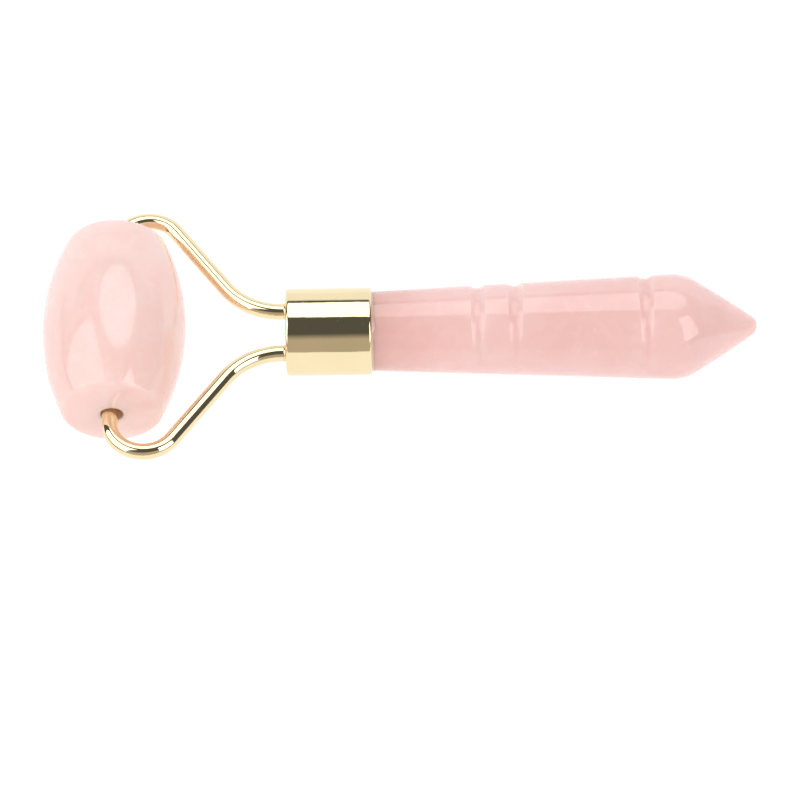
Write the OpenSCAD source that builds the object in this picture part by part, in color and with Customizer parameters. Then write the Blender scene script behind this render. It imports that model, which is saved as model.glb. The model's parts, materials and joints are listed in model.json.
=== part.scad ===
// Face roller: a barrel of polished stone that spins on two bent wire arms, which are brazed into
// a metal ferrule bonded on the end of a stone handle. Everything is drawn along the handle's
// axis (X, from the barrel's middle to the handle's tip, barrel along Y) and then laid on a table.

/* [Roller stone] */
// Diameter of the barrel at its middle
roller_d = 18; // [17:0.5:19]
// Length of the barrel over its domed ends
roller_l = 26.4; // [25:0.1:26.5]
// Diameter where the barrel's side would meet its end if the edge were sharp
roller_end_d = 12.6; // [11:0.2:13.4]
// Height of each domed end
end_dome_h = 0.6; // [0.4:0.1:1]
// Radius that rounds the edge of each end
end_edge_r = 0.6; // [0.4:0.1:1.5]
// Diameter of the blind bore in each end
bore_d = 2.84; // [2.8:0.02:3.2]
// Depth of each bore
bore_depth = 8.5; // [8:0.5:10]
// Width of the chamfer at each bore's mouth
bore_chamfer = 0.3; // [0.1:0.1:0.5]
// Distance of the barrel from the fork's middle, towards the right arm
roller_shift = 0.9; // [0:0.1:0.9]

/* [Pin sleeves] */
// Length of the thin sleeve on each pin
sleeve_l = 4; // [3:0.5:4]
// Wall of a sleeve
sleeve_wall = 0.12; // [0.1:0.01:0.14]
// Radial clearance between a pin and its sleeve
sleeve_clear = 0.02; // [0.01:0.01:0.04]
// How far the sleeves sit inside the mouths of the bores
sleeve_inset = 2.4; // [2:0.1:3]

/* [Fork] */
// Diameter of the wire
wire_d = 2; // [1.8:0.05:2]
// Distance from the handle's axis to the outermost bend of each arm's centre line
fork_half_w = 17.7; // [17:0.1:18.5]
// Centre-line radius of the bend beside the barrel
outer_bend_r = 4.3; // [4:0.1:4.6]
// Centre-line radius of the bend beside the ferrule
neck_bend_r = 8.8; // [8:0.1:9.5]
// Distance from the handle's axis to each tail of wire
tail_y = 3.2; // [2.6:0.1:3.2]
// Straight length of each tail before the ferrule
tail_lead = 0.5; // [0.4:0.1:1]
// Straight length of each tail inside the ferrule, past its front wall
tail_inside = 1.6; // [1.2:0.1:2]
// Distance from the fork's middle to the end of each pin
pin_end_y = 6.2; // [6:0.1:7]
// How far the pins ride off the bores' centres, because the bores are loose
pin_ride = 0.25; // [0:0.01:0.25]
// Chamfer on the ends of the wire
wire_chamfer = 0.25; // [0.1:0.05:0.4]

/* [Ferrule] */
// Distance from the barrel's axis to the front of the ferrule
ferrule_x = 21.7; // [21:0.1:23]
// Length of the ferrule
ferrule_l = 10.8; // [10.2:0.1:12]
// Outside diameter of the ferrule
ferrule_d = 11; // [11:0.1:11.4]
// Wall of the ferrule's sleeve
ferrule_wall = 0.45; // [0.4:0.01:0.46]
// Wall of the ferrule's front
ferrule_front = 0.5; // [0.4:0.1:0.8]
// Radius that rounds the ferrule's outer edges
ferrule_edge_r = 0.35; // [0.1:0.05:0.4]

/* [Brazed joints] */
// Gap that the braze fills between a tail and its hole
braze_gap = 0.05; // [0.03:0.01:0.1]
// Size of the fillet outside the ferrule
braze_fillet = 0.35; // [0.2:0.05:0.4]
// Size of the fillet inside the ferrule
braze_root = 0.7; // [0.4:0.1:0.7]

/* [Handle stone] */
// Diameter of the handle at the ferrule's mouth
handle_d = 10; // [9.6:0.1:10]
// Diameter at the shoulder if its corner were sharp
shoulder_d = 13.4; // [12.6:0.1:14]
// Distance from the ferrule's mouth to the shoulder's corner
shoulder_x = 39.4; // [38:0.1:41]
// Radius that rounds the shoulder
shoulder_r = 6; // [4:0.5:6.5]
// Angle of the point's side from the axis
point_angle = 33; // [30:0.5:36]
// Radius of the point's tip
tip_r = 1.4; // [1:0.1:2]
// Length of handle inside the ferrule
spigot_l = 8; // [7:0.5:8]
// Chamfer on the end inside the ferrule
spigot_chamfer = 0.4; // [0.2:0.1:0.6]

/* [Grooves] */
// Depth of a groove where it is deepest
groove_depth = 0.4; // [0.2:0.05:0.5]
// Radius of the wheel edge that cuts the grooves
groove_r = 1.2; // [1:0.1:1.6]
// How far a groove's bottom clears the handle on its shallow side
groove_fade = 0.02; // [0.01:0.01:0.05]
// Direction of the deepest side, turned from +Y towards +Z
groove_turn = 55; // [0:5:90]

/* [Hidden] */
$fn = 96;
stone = [0.96, 0.80, 0.78];
gold = [0.92, 0.80, 0.52];
braze_gold = [0.86, 0.74, 0.48];
nylon = [0.93, 0.93, 0.90];
resin = [0.95, 0.90, 0.84];

// Distances of the groove centres from the barrel's axis
groove_xs = [45.8, 50.5, 66.9];

// Steps in each arc of an outline
long_arc = 24;
short_arc = 10;

// Barrel outline, in a plane of radius and height above the barrel's middle
side_sag = (roller_d - roller_end_d) / 2;
edge_h = roller_l / 2 - end_dome_h;
side_r = (edge_h * edge_h + side_sag * side_sag) / (2 * side_sag);
side_c = [roller_d / 2 - side_r, 0];
end_half = roller_end_d / 2;
dome_r = (end_half * end_half + end_dome_h * end_dome_h) / (2 * end_dome_h);
dome_c = [0, roller_l / 2 - dome_r];
edge_c = meet(side_c, side_r - end_edge_r, dome_c, dome_r - end_edge_r);
side_end = bearing(edge_c - side_c);
dome_start = bearing(edge_c - dome_c);

// Right arm, seen from above: centres of its two bends and the straight between them
pin_x = -pin_ride;
outer_c = [pin_x + outer_bend_r, fork_half_w - outer_bend_r];
neck_c = [ferrule_x - tail_lead, tail_y + neck_bend_r];
bends_apart = norm(neck_c - outer_c);
bends_sum = outer_bend_r + neck_bend_r;
straight_l = sqrt(bends_apart * bends_apart - bends_sum * bends_sum);
splay = asin(bends_sum / bends_apart) - bearing(neck_c - outer_c);
pin_l = outer_c[1] - pin_end_y;
tail_l = tail_lead + ferrule_front + tail_inside;
wire_r = wire_d / 2;
bend_thinning = 0.005;
lap = 0.05;
sleeve_in_r = wire_r + sleeve_clear;

// Ferrule and handle, along the handle's axis
ferrule_r = ferrule_d / 2;
ferrule_in_r = ferrule_r - ferrule_wall;
mouth_x = ferrule_x + ferrule_l;
corner = [mouth_x + shoulder_x, shoulder_d / 2];
taper = atan((shoulder_d - handle_d) / 2 / shoulder_x);
spigot_x = mouth_x - spigot_l;
spigot_r = handle_r(spigot_x);
body_normal = [-sin(taper), cos(taper)];
point_normal = [sin(point_angle), cos(point_angle)];
shoulder_c = corner - shoulder_r * (body_normal + point_normal) / (1 + body_normal * point_normal);
apex_x = corner[0] + corner[1] / tan(point_angle);
tip_c = [apex_x - tip_r / sin(point_angle), 0];

// Lying on a table: the handle dips until its shoulder touches, and the origin is in the middle
// of the object's length
dip = asin((roller_d / 2 - shoulder_r) / norm(shoulder_c)) - bearing(shoulder_c);
tip_reach = tip_c[0] * cos(dip) + tip_r;
middle_x = (tip_reach - roller_d / 2) / 2;

function handle_r(x) = handle_d / 2 + (x - mouth_x) * tan(taper);
function bearing(v) = atan2(v[1], v[0]);

// Points on an arc about c, from angle a to angle b, without its first point
function arc(c, r, a, b, steps) =
    [for (i = [1:steps]) c + r * [cos(a + (b - a) * i / steps), sin(a + (b - a) * i / steps)]];

// The meeting point of two circles on the side away from the origin
function meet(c1, r1, c2, r2) =
    let (
        gap = c2 - c1,
        apart = norm(gap),
        along = (apart * apart + r1 * r1 - r2 * r2) / (2 * apart),
        aside = sqrt(r1 * r1 - along * along),
        unit = gap / apart
    )
    c1 + along * unit + aside * [-unit[1], unit[0]];

// Sets the handle's axis at its resting slope and the whole object on z = 0
module lay_down() {
    translate([-middle_x, 0, roller_d / 2])
        rotate([0, dip, 0])
            children();
}

// Turns a shape made about Z so that its axis runs along +X
module along_x() {
    rotate([0, 90, 0])
        children();
}

// Turns a shape made about Z so that its axis runs along +Y
module along_y() {
    rotate([-90, 0, 0])
        children();
}

module bore() {
    mouth_z = roller_l / 2;
    chamfer_r = bore_d / 2 + bore_chamfer;
    over = 0.5;
    translate([0, 0, mouth_z - bore_depth])
        cylinder(d = bore_d, h = bore_depth + over);
    translate([0, 0, mouth_z - bore_chamfer])
        cylinder(r1 = bore_d / 2, r2 = chamfer_r + over, h = bore_chamfer + over);
}

module roller_stone() {
    upper = concat(
        arc(side_c, side_r, 0, side_end, long_arc),
        arc(edge_c, end_edge_r, side_end, dome_start, short_arc),
        arc(dome_c, dome_r, dome_start, 90, short_arc)
    );
    last = len(upper) - 1;
    lower = [for (i = [0:last]) [upper[last - i][0], -upper[last - i][1]]];
    color(stone)
        lay_down()
            translate([0, roller_shift, 0])
                along_y()
                    difference() {
                        rotate_extrude()
                            polygon(concat(lower, [[roller_d / 2, 0]], upper));
                        bore();
                        mirror([0, 0, 1])
                            bore();
                    }
}

// A thin sleeve on a pin, inside the bore of the end that faces +Y or -Y
module sleeve(side) {
    inner_y = roller_l / 2 - sleeve_inset - sleeve_l;
    color(nylon)
        lay_down()
            translate([-pin_ride, roller_shift, 0])
                along_y()
                    mirror([0, 0, side < 0 ? 1 : 0])
                        translate([0, 0, inner_y])
                            rotate_extrude()
                                translate([sleeve_in_r, 0])
                                    square([sleeve_wall, sleeve_l]);
}

module left_sleeve() {
    sleeve(-1);
}

module right_sleeve() {
    sleeve(1);
}

// Straight wire along Z. It laps a little into the bend below its foot, and its far end is
// chamfered.
module wire_end(length) {
    translate([0, 0, -lap])
        cylinder(d = wire_d, h = lap + length - wire_chamfer);
    translate([0, 0, length - wire_chamfer])
        cylinder(d1 = wire_d, d2 = wire_d - 2 * wire_chamfer, h = wire_chamfer);
}

// Bent wire about centre c, from angle a through a sweep, drawn a little thinner by the bending
module wire_bend(c, r, a, sweep) {
    translate(c)
        rotate([0, 0, a])
            rotate_extrude(angle = sweep)
                translate([r, 0])
                    circle(d = wire_d - 2 * bend_thinning);
}

// The arm on the +Y side: pin, outer bend, straight, neck bend and tail
module arm() {
    straight_from = outer_c + outer_bend_r * [sin(splay), cos(splay)];
    translate([pin_x, outer_c[1], 0])
        mirror([0, 1, 0])
            along_y()
                wire_end(pin_l);
    wire_bend(outer_c, outer_bend_r, 90 - splay, 90 + splay);
    translate(straight_from)
        rotate([0, 0, -splay])
            along_x()
                translate([0, 0, -lap])
                    cylinder(d = wire_d, h = straight_l + 2 * lap);
    wire_bend(neck_c, neck_bend_r, 270 - splay, splay);
    translate([neck_c[0], tail_y, 0])
        along_x()
            wire_end(tail_l);
}

module right_arm() {
    color(gold)
        lay_down()
            arm();
}

module left_arm() {
    color(gold)
        lay_down()
            mirror([0, 1, 0])
                arm();
}

// The braze round the tail on the +Y side, drawn about the tail's centre
module braze() {
    hole_r = wire_r + braze_gap;
    outside = [
        for (i = [0:short_arc])
            let (a = 90 * i / short_arc)
            [wire_r + braze_fillet * (1 - sin(a)), -braze_fillet * (1 - cos(a))]
    ];
    translate([ferrule_x, tail_y, 0])
        along_x()
            rotate_extrude()
                polygon(concat(outside, [
                    [wire_r, ferrule_front + braze_root],
                    [wire_r + braze_root, ferrule_front],
                    [hole_r, ferrule_front],
                    [hole_r, 0],
                ]));
}

module right_braze() {
    color(braze_gold)
        lay_down()
            braze();
}

module left_braze() {
    color(braze_gold)
        lay_down()
            mirror([0, 1, 0])
                braze();
}

// Both tails of wire with their braze, to cut their space out of another piece
module tails(grow) {
    for (side = [0, 1])
        mirror([0, side, 0]) {
            translate([ferrule_x - 1, tail_y, 0])
                along_x()
                    cylinder(r = wire_r + grow, h = ferrule_front + tail_inside + 1);
            braze();
        }
}

module ferrule() {
    round = ferrule_edge_r;
    outline = concat(
        [[0, 0]],
        arc([ferrule_r - round, round], round, -90, 0, short_arc),
        arc([ferrule_r - round, ferrule_l - round], round, 0, 90, short_arc),
        [[ferrule_in_r, ferrule_l], [ferrule_in_r, ferrule_front], [0, ferrule_front]]
    );
    color(gold)
        lay_down()
            difference() {
                translate([ferrule_x, 0, 0])
                    along_x()
                        rotate_extrude()
                            polygon(outline);
                for (side = [-1, 1])
                    translate([ferrule_x - 1, side * tail_y, 0])
                        along_x()
                            cylinder(r = wire_r + braze_gap, h = ferrule_front + 2);
            }
}

module handle_adhesive() {
    front_x = ferrule_x + ferrule_front;
    color(resin)
        lay_down()
            difference() {
                along_x()
                    rotate_extrude()
                        polygon([
                            [0, front_x],
                            [ferrule_in_r, front_x],
                            [ferrule_in_r, mouth_x],
                            [handle_d / 2, mouth_x],
                            [handle_r(spigot_x + spigot_chamfer), spigot_x + spigot_chamfer],
                            [spigot_r - spigot_chamfer, spigot_x],
                            [0, spigot_x],
                        ]);
                tails(0);
            }
}

// A ring that is deeper on one side of the handle than on the other
module groove(x) {
    off_centre = (groove_depth + groove_fade) / 2;
    ring_r = handle_r(x) - groove_depth + off_centre + groove_r;
    shift = -off_centre * [cos(groove_turn), sin(groove_turn)];
    translate([x, shift[0], shift[1]])
        along_x()
            rotate_extrude()
                translate([ring_r, 0])
                    circle(r = groove_r);
}

module handle_stone() {
    to_point = 90 - point_angle;
    shoulder = arc(shoulder_c, shoulder_r, 90 + taper, to_point, long_arc);
    tip = arc(tip_c, tip_r, to_point, 0, short_arc);
    shoulder_start = shoulder_c + shoulder_r * body_normal;
    outline = concat(
        [
            [spigot_x, 0],
            [spigot_x, spigot_r - spigot_chamfer],
            [spigot_x + spigot_chamfer, handle_r(spigot_x + spigot_chamfer)],
            shoulder_start,
        ],
        shoulder,
        tip
    );
    color(stone)
        lay_down()
            difference() {
                along_x()
                    rotate_extrude()
                        polygon([for (p = outline) [p[1], p[0]]]);
                for (x = groove_xs)
                    groove(x);
            }
}

roller_stone();
left_sleeve();
right_sleeve();
left_arm();
right_arm();
left_braze();
right_braze();
ferrule();
handle_adhesive();
handle_stone();
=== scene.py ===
"""Face roller of polished rose quartz: smooth meshes, materials, stage and camera round the CAD frame.

The pieces are drawn in millimetres along the handle's axis, as the CAD source draws them: X runs
from the barrel's axis to the handle's tip, Y runs along the barrel, and the origin is midway
between the fork's arms. LAY_DOWN then sets each piece at its resting slope, in metres.
"""
import json
import math

import bmesh
import bpy
from mathutils import Matrix, Vector


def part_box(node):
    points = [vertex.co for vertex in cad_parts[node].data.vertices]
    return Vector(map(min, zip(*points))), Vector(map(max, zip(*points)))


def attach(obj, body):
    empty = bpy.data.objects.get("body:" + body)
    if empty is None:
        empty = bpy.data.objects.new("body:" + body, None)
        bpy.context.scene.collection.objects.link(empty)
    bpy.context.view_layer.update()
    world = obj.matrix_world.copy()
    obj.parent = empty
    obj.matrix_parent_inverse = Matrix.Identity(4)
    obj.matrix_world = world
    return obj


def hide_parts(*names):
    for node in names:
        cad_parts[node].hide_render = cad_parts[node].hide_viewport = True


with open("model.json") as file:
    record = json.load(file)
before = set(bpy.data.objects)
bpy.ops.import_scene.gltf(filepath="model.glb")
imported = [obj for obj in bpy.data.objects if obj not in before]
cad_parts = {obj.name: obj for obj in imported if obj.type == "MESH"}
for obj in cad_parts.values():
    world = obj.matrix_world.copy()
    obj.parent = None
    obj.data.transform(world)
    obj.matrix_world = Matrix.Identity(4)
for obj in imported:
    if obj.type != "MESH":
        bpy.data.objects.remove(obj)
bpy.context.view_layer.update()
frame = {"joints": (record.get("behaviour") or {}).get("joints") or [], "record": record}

MM = 0.001
JOINTS = {joint["name"]: joint for joint in frame["joints"]}
BARREL_CENTRE = Vector(JOINTS["roller_spin"]["pos_m"])
HANDLE_AXIS = Vector(frame["record"]["mounts"][0]["axis"])
DIP = math.atan2(-HANDLE_AXIS.z, HANDLE_AXIS.x)
LAY_DOWN = (
    Matrix.Translation((BARREL_CENTRE.x, 0, BARREL_CENTRE.z))
    @ Matrix.Rotation(DIP, 4, "Y")
    @ Matrix.Scale(MM, 4)
)

# Barrel, mm. Its length and diameter come from the frame's own box.
BARREL_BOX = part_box("roller_stone")
ROLLER_SHIFT = BARREL_CENTRE.y / MM
ROLLER_L = (BARREL_BOX[1].y - BARREL_BOX[0].y) / MM
ROLLER_D = (BARREL_BOX[1].z - BARREL_BOX[0].z) / MM
ROLLER_END_D = 12.6
END_DOME_H = 0.6
END_EDGE_R = 0.6
BORE_R = 1.42
BORE_DEPTH = 8.5
BORE_ROUND = 0.28

# Fork and sleeves, mm
WIRE_R = 1.0
FORK_HALF_W = 17.7
OUTER_BEND_R = 4.3
NECK_BEND_R = 8.8
TAIL_Y = 3.2
TAIL_LEAD = 0.5
TAIL_INSIDE = 1.6
PIN_END_Y = 6.2
PIN_X = -0.25
WIRE_CHAMFER = 0.25
SLEEVE_L = 4.0
SLEEVE_WALL = 0.12
SLEEVE_CLEAR = 0.02
SLEEVE_INSET = 2.4

# Ferrule, braze and adhesive, mm
FERRULE_X = 21.7
FERRULE_L = 10.8
FERRULE_R = 5.5
FERRULE_WALL = 0.45
FERRULE_FRONT = 0.5
FERRULE_EDGE_R = 0.35
BRAZE_GAP = 0.05
BRAZE_FILLET = 0.35
BRAZE_ROOT = 0.7
BEAD_R = 0.12
BEAD_SWELL = 0.16
BEAD_SWELL_AT = math.radians(118)
BEAD_SWELL_SPREAD = 0.16
BEAD_STRETCH = 1.6

# Handle, mm
HANDLE_D = 10.0
SHOULDER_D = 13.4
SHOULDER_X = 39.4
SHOULDER_R = 6.0
POINT_ANGLE = math.radians(33)
POINT_CROWN = math.radians(2)
TIP_R = 1.4
SPIGOT_L = 8.0
SPIGOT_CHAMFER = 0.4
GROOVE_XS = (45.8, 50.5, 66.9)
GROOVE_DEPTH = 0.35
GROOVE_FADE = 0.02
GROOVE_R = 1.4
GROOVE_TURN = math.radians(55)
GROOVE_LIP = 0.09

MOUTH_X = FERRULE_X + FERRULE_L
FERRULE_IN_R = FERRULE_R - FERRULE_WALL
TAPER = math.atan((SHOULDER_D - HANDLE_D) / 2 / SHOULDER_X)
SHARP_ANGLE = math.radians(32)

# How finely meshes are drawn: sides round an axis, and spacing along it in mm
BARREL_TURNS = 160
FERRULE_TURNS = 160
HANDLE_TURNS = 144
BEAD_TURNS = 128
HOLE_TURNS = 64
WIRE_TURNS = 48
PLAIN_STEP = 0.6
SPIGOT_STEP = 0.8
GROOVE_STEP = 0.05
GROOVE_REACH = 1.3


# ---------------------------------------------------------------- outlines


def arc(centre, radius, start, end, steps):
    """Points on an arc about centre from angle start to angle end, without its first point."""
    angles = [start + (end - start) * i / steps for i in range(1, steps + 1)]
    return [Vector((centre[0] + radius * math.cos(a), centre[1] + radius * math.sin(a))) for a in angles]


def bearing(vector):
    return math.atan2(vector.y, vector.x)


def outer_meeting(c1, r1, c2, r2):
    """The meeting point of two circles on the left of the way from the first to the second."""
    gap = c2 - c1
    along = (gap.length_squared + r1 * r1 - r2 * r2) / (2 * gap.length)
    aside = math.sqrt(r1 * r1 - along * along)
    unit = gap.normalized()
    return c1 + unit * along + Vector((-unit.y, unit.x)) * aside


def barrel_outline():
    """Half of the barrel's outline as (radius, height), from its middle up to the bore's bottom."""
    half_l = ROLLER_L / 2
    end_r = ROLLER_END_D / 2
    sag = (ROLLER_D - ROLLER_END_D) / 2
    edge_h = half_l - END_DOME_H
    side_r = (edge_h**2 + sag**2) / (2 * sag)
    side_c = Vector((ROLLER_D / 2 - side_r, 0))
    dome_r = (end_r**2 + END_DOME_H**2) / (2 * END_DOME_H)
    dome_c = Vector((0, half_l - dome_r))
    edge_c = outer_meeting(side_c, side_r - END_EDGE_R, dome_c, dome_r - END_EDGE_R)
    side_end = bearing(edge_c - side_c)
    dome_start = bearing(edge_c - dome_c)
    lip_r = BORE_R + BORE_ROUND
    dome_end = math.acos(lip_r / dome_r)
    lip_top = dome_c.y + dome_r * math.sin(dome_end)
    points = [Vector((ROLLER_D / 2, 0))]
    points += arc(side_c, side_r, 0, side_end, steps=48)
    points += arc(edge_c, END_EDGE_R, side_end, dome_start, steps=10)
    points += arc(dome_c, dome_r, dome_start, dome_end, steps=14)
    points += arc((lip_r, lip_top - BORE_ROUND), BORE_ROUND, math.pi / 2, math.pi, steps=8)
    bore_top = half_l - BORE_ROUND
    points += [Vector((BORE_R, bore_top - depth)) for depth in (1.2, 3.0)]
    points += [Vector((BORE_R, half_l - BORE_DEPTH)), Vector((0, half_l - BORE_DEPTH))]
    return points


def handle_r(x):
    """The handle's radius at x, before its shoulder."""
    return HANDLE_D / 2 + (x - MOUTH_X) * math.tan(TAPER)


def spaced(start, end, step):
    """Even places from start up to end, without end."""
    count = max(1, round((end - start) / step))
    return [start + (end - start) * i / count for i in range(count)]


def handle_outline():
    """The handle's outline as (x, radius) from the spigot's end to the tip, closer at the grooves."""
    spigot_x = MOUTH_X - SPIGOT_L
    to_point = math.pi / 2 - POINT_ANGLE
    corner = Vector((MOUTH_X + SHOULDER_X, SHOULDER_D / 2))
    body_normal = Vector((-math.sin(TAPER), math.cos(TAPER)))
    point_normal = Vector((math.sin(POINT_ANGLE), math.cos(POINT_ANGLE)))
    slack = SHOULDER_R / (1 + body_normal.dot(point_normal))
    shoulder_c = corner - (body_normal + point_normal) * slack
    shoulder_start = shoulder_c + body_normal * SHOULDER_R
    tip_c = Vector((corner.x + corner.y / math.tan(POINT_ANGLE) - TIP_R / math.sin(POINT_ANGLE), 0))
    last = MOUTH_X + 2
    xs = spaced(spigot_x + SPIGOT_CHAMFER, last, SPIGOT_STEP)
    for groove_x in GROOVE_XS:
        xs += spaced(last, groove_x - GROOVE_REACH, PLAIN_STEP)
        xs += spaced(groove_x - GROOVE_REACH, groove_x + GROOVE_REACH, GROOVE_STEP)
        last = groove_x + GROOVE_REACH
    xs += spaced(last, shoulder_start.x, PLAIN_STEP)
    points = [Vector((spigot_x, 0)), Vector((spigot_x, handle_r(spigot_x) - SPIGOT_CHAMFER))]
    points += [Vector((x, handle_r(x))) for x in xs]
    points += [shoulder_start]
    points += arc(shoulder_c, SHOULDER_R, math.pi / 2 + TAPER, to_point + POINT_CROWN, steps=28)
    # The point's sides are a little convex, as ground stone is
    tip_start = to_point - POINT_CROWN
    cone_start = points[-1]
    cone_end = tip_c + Vector((math.cos(tip_start), math.sin(tip_start))) * TIP_R
    swell = (cone_end - cone_start).length * POINT_CROWN / 4
    steps = 24
    for i in range(1, steps):
        share = i / steps
        points.append(cone_start.lerp(cone_end, share) + point_normal * (swell * 4 * share * (1 - share)))
    points += [cone_end]
    points += arc(tip_c, TIP_R, tip_start, 0, steps=16)
    return points


def groove_cut(x, angle):
    """How far a groove sinks the handle's surface at x and at an angle turned from +Y to +Z."""
    off_centre = (GROOVE_DEPTH + GROOVE_FADE) / 2
    deepest = GROOVE_DEPTH - off_centre + off_centre * math.cos(angle - GROOVE_TURN)
    cut = 0.0
    for groove_x in GROOVE_XS:
        away = abs(x - groove_x)
        if away < GROOVE_R:
            sunk = deepest - GROOVE_R + math.sqrt(GROOVE_R**2 - away**2)
            if sunk > GROOVE_LIP:
                cut += sunk
            elif sunk > -GROOVE_LIP:
                cut += (sunk + GROOVE_LIP) ** 2 / (4 * GROOVE_LIP)
    return cut


# ---------------------------------------------------------------- meshes


def finish_mesh(bm, name, place, sharp=SHARP_ANGLE):
    """Turns bm, in mm along the handle's axis, into a smooth object at its place in the row frame."""
    bmesh.ops.transform(bm, matrix=place, verts=bm.verts)
    bmesh.ops.remove_doubles(bm, verts=bm.verts, dist=1e-7)
    bmesh.ops.recalc_face_normals(bm, faces=bm.faces)
    mesh = bpy.data.meshes.new(name)
    bm.to_mesh(mesh)
    bm.free()
    mesh.shade_smooth()
    mesh.set_sharp_from_angle(angle=sharp)
    piece = bpy.data.objects.new(name, mesh)
    bpy.context.scene.collection.objects.link(piece)
    return piece


def ring_of(bm, x, radius, turns, cut=None):
    """A ring of vertices about the X axis, or one vertex on it."""
    if radius < 1e-6:
        return [bm.verts.new((x, 0, 0))]
    ring = []
    for i in range(turns):
        angle = 2 * math.pi * i / turns
        r = radius - cut(x, angle) if cut else radius
        ring.append(bm.verts.new((x, r * math.cos(angle), r * math.sin(angle))))
    return ring


def bridge(bm, one, two):
    """Faces between two rings, where either may be a single vertex."""
    count = max(len(one), len(two))
    for i in range(count):
        j = (i + 1) % count
        corners = [one[i % len(one)], one[j % len(one)], two[j % len(two)], two[i % len(two)]]
        unique = list(dict.fromkeys(corners))
        if len(unique) > 2:
            bm.faces.new(unique)


def revolve(bm, outline, turns, closed=False, cut=None):
    """Revolves an outline of (x, radius) points about the X axis and returns its rings."""
    rings = [ring_of(bm, p[0], p[1], turns, cut) for p in outline]
    for one, two in zip(rings, rings[1:]):
        bridge(bm, one, two)
    if closed:
        bridge(bm, rings[-1], rings[0])
    return rings


def along_y(shift, side=1, across=0):
    """Turns a shape made along X to lie along Y, shifted along Y and across X, mirrored for side -1."""
    turn = Matrix(((0, -1, 0, across), (side, 0, 0, shift), (0, 0, 1, 0), (0, 0, 0, 1)))
    return LAY_DOWN @ turn


def roller_stone():
    half = barrel_outline()
    whole = [(-p.y, p.x) for p in reversed(half)] + [(p.y, p.x) for p in half[1:]]
    bm = bmesh.new()
    revolve(bm, whole, BARREL_TURNS)
    return finish_mesh(bm, "roller_barrel", along_y(ROLLER_SHIFT))


def handle_stone():
    bm = bmesh.new()
    revolve(bm, handle_outline(), HANDLE_TURNS, cut=groove_cut)
    return finish_mesh(bm, "handle_point", LAY_DOWN)


def sleeve(name, side):
    """A thin sleeve with rounded rims round a pin, inside the bore on one side."""
    inner_r = WIRE_R + SLEEVE_CLEAR
    middle_r = inner_r + SLEEVE_WALL / 2
    rim_r = SLEEVE_WALL / 2
    outer_x = ROLLER_L / 2 - SLEEVE_INSET
    inner_x = outer_x - SLEEVE_L
    outline = arc((outer_x - rim_r, middle_r), rim_r, -math.pi / 2, math.pi / 2, steps=6)
    outline += arc((inner_x + rim_r, middle_r), rim_r, math.pi / 2, math.pi * 1.5, steps=6)
    bm = bmesh.new()
    revolve(bm, outline, HOLE_TURNS, closed=True)
    return finish_mesh(bm, name, along_y(ROLLER_SHIFT, side, PIN_X))


def arm_path():
    """The +Y arm's centre line as (point, heading) pairs in the plane of the fork, pin end first."""
    outer_c = Vector((PIN_X + OUTER_BEND_R, FORK_HALF_W - OUTER_BEND_R))
    neck_c = Vector((FERRULE_X - TAIL_LEAD, TAIL_Y + NECK_BEND_R))
    apart = (neck_c - outer_c).length
    splay = math.asin((OUTER_BEND_R + NECK_BEND_R) / apart) - bearing(neck_c - outer_c)
    path = [(Vector((PIN_X, y)), math.pi / 2) for y in (PIN_END_Y, 9, 12, outer_c.y)]
    steps = 44
    for i in range(1, steps + 1):
        heading = math.pi / 2 - (math.pi / 2 + splay) * i / steps
        out = Vector((-math.sin(heading), math.cos(heading)))
        path.append((outer_c + out * OUTER_BEND_R, heading))
    steps = 24
    for i in range(steps + 1):
        heading = -splay * (1 - i / steps)
        out = Vector((math.sin(heading), -math.cos(heading)))
        path.append((neck_c + out * NECK_BEND_R, heading))
    tail_end = FERRULE_X + FERRULE_FRONT + TAIL_INSIDE
    path.append((Vector((tail_end, TAIL_Y)), 0.0))
    return path


def wire_arm(name, side):
    """A bent wire with chamfered ends, swept along the arm's centre line."""
    path = arm_path()
    first, last = path[0], path[-1]
    stations = [(first[0], first[1], WIRE_R - WIRE_CHAMFER)]
    step = Vector((math.cos(first[1]), math.sin(first[1]))) * WIRE_CHAMFER
    stations.append((first[0] + step, first[1], WIRE_R))
    stations += [(point, heading, WIRE_R) for point, heading in path[1:-1]]
    step = Vector((math.cos(last[1]), math.sin(last[1]))) * WIRE_CHAMFER
    stations.append((last[0] - step, last[1], WIRE_R))
    stations.append((last[0], last[1], WIRE_R - WIRE_CHAMFER))
    bm = bmesh.new()
    rings = []
    for point, heading, radius in stations:
        across = Vector((-math.sin(heading), math.cos(heading), 0))
        ring = []
        for i in range(WIRE_TURNS):
            angle = 2 * math.pi * i / WIRE_TURNS
            offset = across * (radius * math.cos(angle)) + Vector((0, 0, radius * math.sin(angle)))
            place = Vector((point.x, point.y, 0)) + offset
            ring.append(bm.verts.new((place.x, side * place.y, place.z)))
        rings.append(ring)
    for one, two in zip(rings, rings[1:]):
        bridge(bm, one, two)
    bm.faces.new(rings[0])
    bm.faces.new(rings[-1])
    return finish_mesh(bm, name, LAY_DOWN)


def braze(name, side):
    """The braze round a tail: a fillet outside the ferrule, the film in the hole and a root inside."""
    steps = 10
    outline = []
    for i in range(steps + 1):
        angle = math.pi / 2 * i / steps
        outline.append(
            (-BRAZE_FILLET * (1 - math.cos(angle)), WIRE_R + BRAZE_FILLET * (1 - math.sin(angle)))
        )
    outline += [
        (FERRULE_FRONT + BRAZE_ROOT, WIRE_R),
        (FERRULE_FRONT, WIRE_R + BRAZE_ROOT),
        (FERRULE_FRONT, WIRE_R + BRAZE_GAP),
        (0, WIRE_R + BRAZE_GAP),
    ]
    bm = bmesh.new()
    revolve(bm, outline, HOLE_TURNS, closed=True)
    return finish_mesh(bm, name, LAY_DOWN @ Matrix.Translation((FERRULE_X, side * TAIL_Y, 0)))


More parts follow.
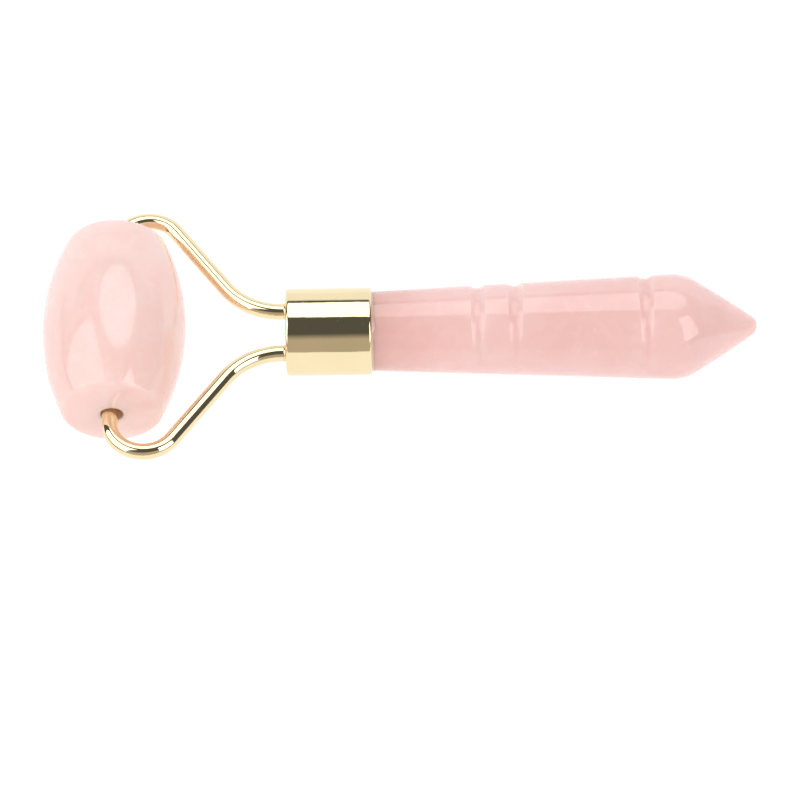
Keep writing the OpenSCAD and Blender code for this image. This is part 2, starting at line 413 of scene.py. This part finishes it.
def hole_ring(bm, x, side):
    """A ring of vertices round one tail's hole, at x along the handle's axis."""
    ring = []
    for i in range(HOLE_TURNS):
        angle = 2 * math.pi * i / HOLE_TURNS
        y = side * TAIL_Y + (WIRE_R + BRAZE_GAP) * math.cos(angle)
        ring.append(bm.verts.new((x, y, (WIRE_R + BRAZE_GAP) * math.sin(angle))))
    return ring


def rim_edges(bm, ring):
    """The edges round a ring, made where there are none."""
    pairs = zip(ring, ring[1:] + ring[:1])
    return [bm.edges.get(pair) or bm.edges.new(pair) for pair in pairs]


def ferrule():
    """A drawn cup with rounded edges, whose front wall has a hole for each tail."""
    round_r = FERRULE_EDGE_R
    flat = 0.06
    lip_r = 0.05
    outer_c = FERRULE_R - round_r
    front, back = FERRULE_X, MOUTH_X
    outline = [Vector((front, outer_c - flat)), Vector((front, outer_c))]
    outline += arc((front + round_r, outer_c), round_r, math.pi, math.pi / 2, steps=10)
    outline += [Vector((front + round_r + flat, FERRULE_R)), Vector((back - round_r - flat, FERRULE_R))]
    outline += arc((back - round_r, outer_c), round_r, math.pi / 2 + 1e-4, 0, steps=10)
    outline += arc((back - lip_r, FERRULE_IN_R + lip_r), lip_r, 0, -math.pi / 2, steps=5)
    inner_front = front + FERRULE_FRONT
    outline += [Vector((inner_front, FERRULE_IN_R))]
    bm = bmesh.new()
    rings = revolve(bm, outline, FERRULE_TURNS)
    for x, rim in ((front, rings[0]), (inner_front, rings[-1])):
        edges = rim_edges(bm, rim)
        for side in (-1, 1):
            edges += rim_edges(bm, hole_ring(bm, x, side))
        bmesh.ops.triangle_fill(bm, use_beauty=True, use_dissolve=False, edges=edges, normal=(1, 0, 0))
    for side in (-1, 1):
        bridge(bm, hole_ring(bm, front, side), hole_ring(bm, inner_front, side))
    return finish_mesh(bm, "ferrule_cup", LAY_DOWN)


def bead_ring(bm, share):
    """One ring of the uneven bead at the ferrule's mouth, from its root on the handle to its rim."""
    lift = math.sin(math.pi / 2 * (1 - share))
    out = 1 - math.cos(math.pi / 2 * share)
    ring = []
    for i in range(BEAD_TURNS):
        angle = 2 * math.pi * i / BEAD_TURNS
        away = (angle - BEAD_SWELL_AT + math.pi) % (2 * math.pi) - math.pi
        size = BEAD_R + BEAD_SWELL * math.exp(-((away / BEAD_SWELL_SPREAD) ** 2))
        x = MOUTH_X + size * BEAD_STRETCH * lift
        r = handle_r(MOUTH_X) + size * out
        ring.append(bm.verts.new((x, r * math.cos(angle), r * math.sin(angle))))
    return ring


def adhesive():
    """The resin between spigot and ferrule, with a small uneven bead at the mouth."""
    front_x = FERRULE_X + FERRULE_FRONT
    spigot_x = MOUTH_X - SPIGOT_L
    outline = [
        (spigot_x, 0.0),
        (spigot_x, handle_r(spigot_x) - SPIGOT_CHAMFER),
        (spigot_x + SPIGOT_CHAMFER, handle_r(spigot_x + SPIGOT_CHAMFER)),
        (MOUTH_X - 1, handle_r(MOUTH_X - 1)),
    ]
    bm = bmesh.new()
    rings = revolve(bm, outline, BEAD_TURNS)
    steps = 8
    bead = [bead_ring(bm, k / steps) for k in range(steps + 1)]
    wall = [(MOUTH_X - 0.05, FERRULE_IN_R), (front_x, FERRULE_IN_R), (front_x, 0.0)]
    rest = [rings[-1]] + bead + [ring_of(bm, x, r, BEAD_TURNS) for x, r in wall]
    for one, two in zip(rest, rest[1:]):
        bridge(bm, one, two)
    return finish_mesh(bm, "resin_bond", LAY_DOWN)


# ---------------------------------------------------------------- materials


class Nodes:
    """A material's node tree with short ways to add and link nodes."""

    def __init__(self, name):
        self.material = bpy.data.materials.new(name)
        self.material.use_nodes = True
        self.tree = self.material.node_tree
        self.shader = self.tree.nodes["Principled BSDF"]

    def add(self, kind, **settings):
        node = self.tree.nodes.new(kind)
        for key, value in settings.items():
            setattr(node, key, value)
        return node

    def link(self, output, socket):
        self.tree.links.new(output, socket)

    def place(self, scale=(1, 1, 1), turn=(0, 0, 0)):
        """Object coordinates, which are the row frame's metres, scaled and turned."""
        coordinates = self.add("ShaderNodeTexCoord")
        mapping = self.add("ShaderNodeMapping")
        mapping.inputs["Scale"].default_value = scale
        mapping.inputs["Rotation"].default_value = turn
        self.link(coordinates.outputs["Object"], mapping.inputs["Vector"])
        return mapping.outputs["Vector"]

    def noise(self, vector, scale, detail=4.0, roughness=0.5, distortion=0.0):
        node = self.add("ShaderNodeTexNoise")
        node.inputs["Scale"].default_value = scale
        node.inputs["Detail"].default_value = detail
        node.inputs["Roughness"].default_value = roughness
        node.inputs["Distortion"].default_value = distortion
        self.link(vector, node.inputs["Vector"])
        return node.outputs["Fac"]

    def ramp(self, factor, stops):
        """A colour ramp through stops of (position, colour)."""
        node = self.add("ShaderNodeValToRGB")
        while len(node.color_ramp.elements) < len(stops):
            node.color_ramp.elements.new(0.5)
        for element, (position, colour) in zip(node.color_ramp.elements, stops):
            element.position = position
            element.color = (*colour, 1)
        self.link(factor, node.inputs["Fac"])
        return node.outputs["Color"]

    def span(self, value, low, high, to_low, to_high):
        """Maps value from low..high to to_low..to_high, clamped."""
        node = self.add("ShaderNodeMapRange", clamp=True)
        for socket, number in zip(node.inputs[1:5], (low, high, to_low, to_high)):
            socket.default_value = number
        self.link(value, node.inputs["Value"])
        return node.outputs["Result"]

    def mix(self, factor, one, two, blend="MIX"):
        node = self.add("ShaderNodeMix", data_type="RGBA", blend_type=blend)
        for value, socket in ((factor, node.inputs[0]), (one, node.inputs[6]), (two, node.inputs[7])):
            if isinstance(value, (int, float)):
                socket.default_value = value
            elif isinstance(value, tuple):
                socket.default_value = (*value, 1)
            else:
                self.link(value, socket)
        return node.outputs[2]

    def math(self, operation, one, two=None):
        node = self.add("ShaderNodeMath", operation=operation)
        for value, socket in ((one, node.inputs[0]), (two, node.inputs[1])):
            if isinstance(value, (int, float)):
                socket.default_value = value
            elif value is not None:
                self.link(value, socket)
        return node.outputs[0]

    def bump(self, height, distance, strength=1.0, under=None):
        node = self.add("ShaderNodeBump")
        node.inputs["Strength"].default_value = strength
        node.inputs["Distance"].default_value = distance
        self.link(height, node.inputs["Height"])
        if under is not None:
            self.link(under, node.inputs["Normal"])
        return node.outputs["Normal"]

    def set(self, **values):
        """Sets the shader's own sockets, named with underscores for spaces."""
        for key, value in values.items():
            socket = self.shader.inputs[key.replace("_", " ")]
            if isinstance(value, bpy.types.NodeSocket):
                self.link(value, socket)
            elif isinstance(value, tuple) and len(socket.default_value) == 4:
                socket.default_value = (*value, 1)
            else:
                socket.default_value = value


def rose_quartz(name, pale, deep, seed_turn, reach, painted_shade):
    """Milky pink stone: cloudy colour, light that scatters inside, a bright polish and a faint painted
    glow, though it is no lamp.

    The colour is multiplied by painted_shade, (share, colour) stops of painted shade spread over the
    reach along X, in metres.
    """
    m = Nodes(name)
    where = m.place(turn=seed_turn)
    clouds = m.noise(where, scale=95, detail=3, roughness=0.55, distortion=0.6)
    wisps = m.noise(where, scale=420, detail=4, roughness=0.6, distortion=1.4)
    middle = tuple((a + b) / 2 for a, b in zip(pale, deep))
    colour = m.ramp(clouds, [(0.34, deep), (0.52, middle), (0.68, pale)])
    milk = m.span(wisps, 0.50, 0.70, 0.0, 0.3)
    colour = m.mix(milk, colour, tuple(min(1.0, c * 1.05 + 0.03) for c in pale))
    along = m.add("ShaderNodeSeparateXYZ")
    m.link(m.place(), along.inputs[0])
    # Painted shade along X, multiplied into the stone's colour
    colour = m.mix(1.0, colour, m.ramp(m.span(along.outputs["X"], *reach, 0.0, 1.0), painted_shade), "MULTIPLY")
    polish = m.noise(where, scale=900, detail=3)
    swell = m.noise(where, scale=260, detail=1)
    m.set(
        Base_Color=colour,
        Roughness=m.span(polish, 0.3, 0.75, 0.004, 0.02),
        IOR=1.54,
        Subsurface_Weight=0.75,
        Subsurface_Radius=(1.0, 0.8, 0.75),
        Subsurface_Scale=LIGHT_DEPTH,
        # Painted glow: a faint pink light given off by the stone, though it is no lamp
        Emission_Color=(1.0, 0.48, 0.43),
        Emission_Strength=PAINTED_GLOW,
        Normal=m.bump(swell, distance=0.000004),
    )
    return m.material


def gold_plate(name, colour, grain=(1, 1, 1)):
    """Polished pale gold plating with faint drawing lines, slight orange peel and dull specks."""
    m = Nodes(name)
    where = m.place()
    lines_at = m.place(scale=grain)
    tone = m.noise(where, scale=240, detail=2)
    shade = m.mix(m.span(tone, 0.35, 0.7, 0.0, 1.0), colour, tuple(c * 0.965 for c in colour))
    lines = m.noise(lines_at, scale=2600, detail=3, roughness=0.6)
    peel = m.noise(where, scale=700, detail=2)
    specks = m.noise(where, scale=1500, detail=5, roughness=0.7)
    rough = m.math("ADD", m.span(specks, 0.62, 0.72, 0.0, 0.16), m.span(lines, 0.3, 0.75, 0.03, 0.075))
    normal = m.bump(peel, distance=0.000004)
    normal = m.bump(lines, distance=0.0000022, under=normal)
    m.set(Base_Color=shade, Metallic=1.0, Roughness=rough, Normal=normal)
    return m.material


def simple_finish(name, pale, deep, roughness, scale, metallic=0.0, **more):
    """A finish that varies between two colours, with roughness and bump from the same noise."""
    m = Nodes(name)
    where = m.place()
    spots = m.noise(where, scale, detail=4)
    m.set(
        Base_Color=m.ramp(spots, [(0.35, deep), (0.65, pale)]),
        Roughness=m.span(spots, 0.3, 0.7, roughness * 0.8, roughness * 1.2),
        Metallic=metallic,
        Normal=m.bump(m.noise(where, scale * 4, detail=3), distance=0.000004),
        **more,
    )
    return m.material


def paint(piece, material):
    piece.data.materials.clear()
    piece.data.materials.append(material)


# ---------------------------------------------------------------- assembly

GOLD = (0.92, 0.78, 0.49)
BRAZE = (0.86, 0.70, 0.42)
# How far light scatters in the stone, in metres, and the strength of a faint painted glow that the stone
# gives off, though it is no lamp
LIGHT_DEPTH = 0.003
PAINTED_GLOW = 0.06

# Painted shade: the barrel is pinker on both sides of its middle, shade painted on its sides, and the
# handle darker where it enters the ferrule, shade painted where the ferrule covers it
MOUTH_WORLD_X = (LAY_DOWN @ Vector((MOUTH_X, 0, 0))).x
BARREL_REACH = (BARREL_CENTRE.x - 0.006, BARREL_CENTRE.x + 0.009)
BARREL_PAINTED_SHADE = [(0.0, (0.98, 0.96, 0.945)), (0.4, (1.0, 1.0, 0.99)), (1.0, (1.01, 0.98, 0.96))]
ROOT_REACH = (MOUTH_WORLD_X, MOUTH_WORLD_X + 0.0085)
FERRULE_PAINTED_SHADE = [(0.0, (0.84, 0.74, 0.69)), (0.4, (0.92, 0.86, 0.83)), (1.0, (1.0, 1.0, 1.0))]

barrel_stone = rose_quartz(
    "rose_quartz_barrel",
    pale=(0.995, 0.735, 0.705),
    deep=(0.99, 0.66, 0.625),
    seed_turn=(0.3, 0.9, 1.7),
    reach=BARREL_REACH,
    painted_shade=BARREL_PAINTED_SHADE,
)
handle_stone_finish = rose_quartz(
    "rose_quartz_handle",
    pale=(0.88, 0.622, 0.597),
    deep=(0.845, 0.55, 0.525),
    seed_turn=(1.1, 0.2, 0.6),
    reach=ROOT_REACH,
    painted_shade=FERRULE_PAINTED_SHADE,
)
# Painted shade: the bore walls are painted dark brown for the shade down the holes, with a faint painted
# glow; only their roughness is the drilled stone's own
bore_painted_shade = simple_finish(
    "bore_shade_quartz",
    pale=(0.66, 0.45, 0.36),
    deep=(0.46, 0.27, 0.20),
    roughness=0.5,
    scale=1800,
    Emission_Color=(0.60, 0.36, 0.26),
    Emission_Strength=0.15,
)
gold = gold_plate("gold_plate", GOLD, grain=(0.05, 1, 1))
wire_gold = gold_plate("gold_wire", GOLD)
braze_gold = simple_finish(
    "braze_gold", pale=BRAZE, deep=tuple(c * 0.85 for c in BRAZE), roughness=0.16, scale=900, metallic=1.0
)
nylon = simple_finish(
    "nylon_sleeve", pale=(0.80, 0.79, 0.74), deep=(0.70, 0.69, 0.64), roughness=0.45, scale=1200
)
resin = simple_finish(
    "clear_resin", pale=(0.84, 0.60, 0.54), deep=(0.78, 0.52, 0.46), roughness=0.06, scale=900
)

PIECES = [
    (roller_stone(), "roller", "roller_stone", "stone", barrel_stone),
    (sleeve("left_pin_sleeve", -1), "sleeves", "left_sleeve", "nylon", nylon),
    (sleeve("right_pin_sleeve", 1), "sleeves", "right_sleeve", "nylon", nylon),
    (wire_arm("left_wire_arm", -1), "handle", "left_arm", "gold", wire_gold),
    (wire_arm("right_wire_arm", 1), "handle", "right_arm", "gold", wire_gold),
    (braze("left_braze_fillet", -1), "handle", "left_braze", "braze", braze_gold),
    (braze("right_braze_fillet", 1), "handle", "right_braze", "braze", braze_gold),
    (ferrule(), "handle", "ferrule", "gold", gold),
    (adhesive(), "handle", "handle_adhesive", "resin", resin),
    (handle_stone(), "handle", "handle_stone", "stone", handle_stone_finish),
]
for piece, body, node, slot, material in PIECES:
    paint(piece, material)
    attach(piece, body)
    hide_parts(node)


def paint_bores(barrel, material):
    """Gives the drilled walls of the barrel's bores a material of their own, painted dark for the shade
    inside the holes.
    """
    barrel.data.materials.append(material)
    margin = 0.02
    for face in barrel.data.polygons:
        centre = face.center - Vector((BARREL_CENTRE.x, 0, BARREL_CENTRE.z))
        if math.hypot(centre.x, centre.z) / MM < BORE_R + margin:
            face.material_index = 1


paint_bores(PIECES[0][0], bore_painted_shade)


# ---------------------------------------------------------------- stage


WHITE = (1.0, 1.0, 1.0)
DARK = (0.097, 0.097, 0.097)
TAN = (0.5, 0.45, 0.4)

# The room's colour by angle, in degrees, from the back of the table over the top to the front
ROOM = (
    (0, WHITE),
    (30, WHITE),
    (35, DARK),
    (130, DARK),
    (145, TAN),
    (180, TAN),
)

# How far towards either end of the X axis a direction points when the room fades to dark
SIDE_FADE = (0.72, 0.86)


def floor():
    """A plain pale table, which glows so that it is as white as a lit sweep of paper."""
    half_width = 4.0
    albedo = 0.1
    glow = 0.97
    bm = bmesh.new()
    bmesh.ops.create_grid(bm, x_segments=1, y_segments=1, size=half_width)
    mesh = bpy.data.meshes.new("floor")
    bm.to_mesh(mesh)
    bm.free()
    piece = bpy.data.objects.new("floor", mesh)
    bpy.context.scene.collection.objects.link(piece)
    m = Nodes("pale_floor")
    m.set(
        Base_Color=(albedo, albedo, albedo),
        Roughness=1.0,
        Specular_IOR_Level=0.0,
        Emission_Color=WHITE,
        Emission_Strength=glow,
    )
    mesh.materials.append(m.material)


def softbox(name, radiance, centre, wide, high, width, height, shape="RECTANGLE"):
    """An area light, with its width and height along the directions wide and high, lighting inwards."""
    wide = Vector(wide).normalized()
    outwards = wide.cross(Vector(high)).normalized()
    high = outwards.cross(wide)
    area = width * height * (math.pi / 4 if shape == "ELLIPSE" else 1)
    light = bpy.data.lights.new(name, "AREA")
    light.shape = shape
    light.size = width
    light.size_y = height
    light.energy = math.pi * area * radiance
    lamp = bpy.data.objects.new(name, light)
    turn = Matrix((wide, high, outwards)).transposed().to_4x4()
    lamp.matrix_world = Matrix.Translation(centre) @ turn
    bpy.context.scene.collection.objects.link(lamp)


def room():
    """The room round the table: white behind, dark overhead, tan in front and dark at both sides."""
    world = bpy.data.worlds.new("room")
    bpy.context.scene.world = world
    world.use_nodes = True
    tree = world.node_tree
    background = tree.nodes["Background"]

    def node(kind, **settings):
        made = tree.nodes.new(kind)
        for key, value in settings.items():
            setattr(made, key, value)
        return made

    coordinates = node("ShaderNodeTexCoord")
    parts = node("ShaderNodeSeparateXYZ")
    tree.links.new(coordinates.outputs["Generated"], parts.inputs[0])
    # Angle in the YZ plane, from the back of the table over the top to the front
    turn = node("ShaderNodeMath", operation="ARCTAN2")
    tree.links.new(parts.outputs["Z"], turn.inputs[0])
    tree.links.new(parts.outputs["Y"], turn.inputs[1])
    share = node("ShaderNodeMath", operation="DIVIDE")
    tree.links.new(turn.outputs[0], share.inputs[0])
    share.inputs[1].default_value = math.pi
    ramp = node("ShaderNodeValToRGB")
    while len(ramp.color_ramp.elements) < len(ROOM):
        ramp.color_ramp.elements.new(0.5)
    for element, (degrees, colour) in zip(ramp.color_ramp.elements, ROOM):
        element.position = degrees / 180
        element.color = (*colour, 1)
    tree.links.new(share.outputs[0], ramp.inputs[0])
    # Towards the two ends of the X axis the room is dark
    side = node("ShaderNodeMath", operation="ABSOLUTE")
    tree.links.new(parts.outputs["X"], side.inputs[0])
    spread = node("ShaderNodeMapRange", clamp=True)
    for socket, number in zip(spread.inputs[1:5], (*SIDE_FADE, 0.0, 1.0)):
        socket.default_value = number
    tree.links.new(side.outputs[0], spread.inputs[0])
    blend = node("ShaderNodeMix", data_type="RGBA")
    tree.links.new(spread.outputs[0], blend.inputs[0])
    tree.links.new(ramp.outputs[0], blend.inputs[6])
    blend.inputs[7].default_value = (*DARK, 1)
    tree.links.new(blend.outputs[2], background.inputs["Color"])
    background.inputs["Strength"].default_value = 1.0


def camera():
    """The camera, set by where it stands round the table and how it is rolled."""
    distance = 0.55
    azimuth = math.radians(2.773)
    elevation = math.radians(55.81)
    roll = math.radians(4.236)
    aim_right = -0.00063
    aim_up = -0.00433
    back = Vector(
        (
            math.sin(azimuth) * math.cos(elevation),
            -math.cos(azimuth) * math.cos(elevation),
            math.sin(elevation),
        )
    )
    right = Vector((math.cos(azimuth), math.sin(azimuth), 0))
    up = back.cross(right)
    data = bpy.data.cameras.new("camera")
    data.sensor_width = 36
    data.lens = 194.0
    data.clip_start = 0.01
    lens = bpy.data.objects.new("camera", data)
    image_right = right * math.cos(roll) - up * math.sin(roll)
    image_up = right * math.sin(roll) + up * math.cos(roll)
    turn = Matrix((image_right, image_up, back)).transposed().to_4x4()
    place = back * distance + right * aim_right + up * aim_up
    lens.matrix_world = Matrix.Translation(place) @ turn
    bpy.context.scene.collection.objects.link(lens)
    bpy.context.scene.camera = lens


floor()
softbox(
    "overhead_softbox",
    radiance=1.85,
    centre=(0.155, 0.49, 0.8),
    wide=(1, 0, 0),
    high=(0, 1, 0),
    width=0.89,
    height=0.90,
    shape="ELLIPSE",
)
softbox(
    "left_softbox",
    radiance=1.8,
    centre=(-0.572, -0.059, 0.614),
    wide=(0.525, -0.845, 0.1),
    high=(0.44, 0.113, 0.891),
    width=0.82,
    height=1.02,
)
softbox(
    "right_softbox",
    radiance=2.5,
    centre=(0.715, -0.425, 0.763),
    wide=(0.814, 0.539, -0.135),
    high=(0.08, 0.304, 0.963),
    width=0.62,
    height=1.12,
)
room()
camera()
bpy.context.scene.view_settings.view_transform = "Standard"
